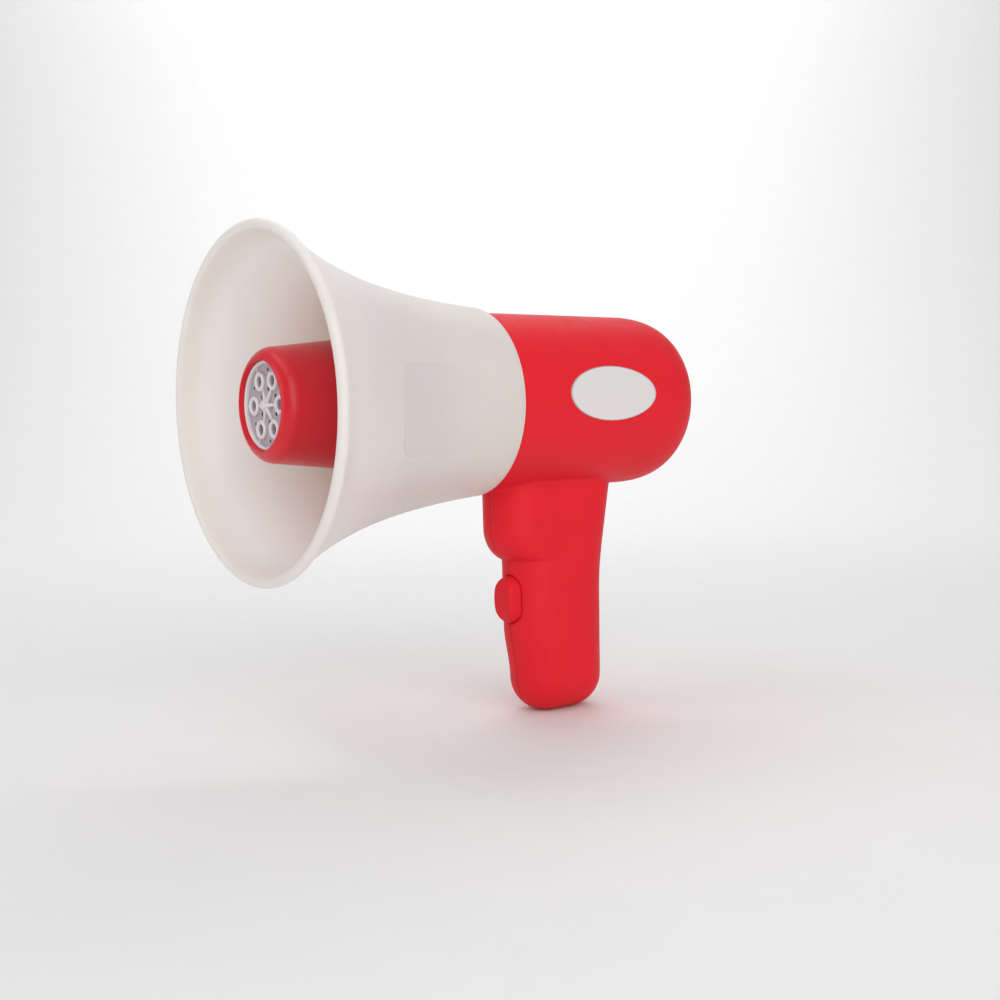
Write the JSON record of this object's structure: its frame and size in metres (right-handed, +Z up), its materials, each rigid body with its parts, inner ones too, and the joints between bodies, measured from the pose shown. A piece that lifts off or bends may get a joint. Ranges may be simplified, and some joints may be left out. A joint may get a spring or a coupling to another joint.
{
  "type": "bubble megaphone",
  "caption": "Toy bubble megaphone: a flared horn with an inner nozzle and ring wand, a domed split body holding a motor fan, and a hand grip with a push trigger and battery door.",
  "frame": {"origin": "middle of the hand grip, on the split between the body halves", "axes": "+Z up along the handle, -Y out of the horn's mouth along its axis, +X to the labelled side"},
  "size_m": [0.15, 0.2271, 0.2225],
  "materials": {
    "horn_white": "satin moulded off-white plastic",
    "body_red": "satin moulded red plastic",
    "wand_white": "smooth slightly translucent white plastic",
    "label_white": "smooth printed film",
    "dark_plastic": "moulded dark grey plastic",
    "fan_plastic": "moulded ivory plastic",
    "motor_metal": null,
    "screw_steel": "plated steel",
    "brass": "stamped brass",
    "cell_jacket": null,
    "wire_red": "soft insulation",
    "wire_black": "soft insulation"
  },
  "bodies": {
    "body": {"shell_left": "body_red", "shell_right": "body_red", "horn": "horn_white", "nozzle": "body_red", "bubble_wand": "wand_white", "label_left": "label_white", "shell_screws": "screw_steel", "fan_housing": "dark_plastic", "motor_bush": "brass", "motor_can": "motor_metal", "motor_end_cap": "fan_plastic", "motor_terminals": "brass", "battery_box": "dark_plastic", "battery_cell_front": "cell_jacket", "battery_cell_rear": "cell_jacket", "battery_springs": "screw_steel", "battery_contacts": "brass", "trigger_spring": "screw_steel", "switch_base": "dark_plastic", "switch_contacts": "brass", "lead_motor_red": "wire_red", "lead_motor_black": "wire_black", "lead_battery_black": "wire_black"},
    "fan": {"fan_impeller": "fan_plastic", "motor_shaft": "screw_steel"},
    "trigger": {"trigger": "body_red", "contact_bridge": "brass"},
    "battery_door": {"battery_door": "body_red", "door_screw": "screw_steel"}
  },
  "joints": [
    {"name": "fan_spin", "type": "hinge", "parent": "body", "child": "fan", "pos_m": [0, -0.035, 0.105], "axis": [0, 1, 0], "continuous": true},
    {"name": "trigger_press", "type": "slide", "parent": "body", "child": "trigger", "axis": [0, 1, 0], "range_m": [0, 0.003], "stiffness_N_per_m": 700, "springref_m": -0.002, "deforming": ["trigger_spring"]},
    {"name": "battery_door_lift", "type": "slide", "parent": "body", "child": "battery_door", "axis": [-1, 0, 0], "range_m": [0, 0.03]}
  ]
}
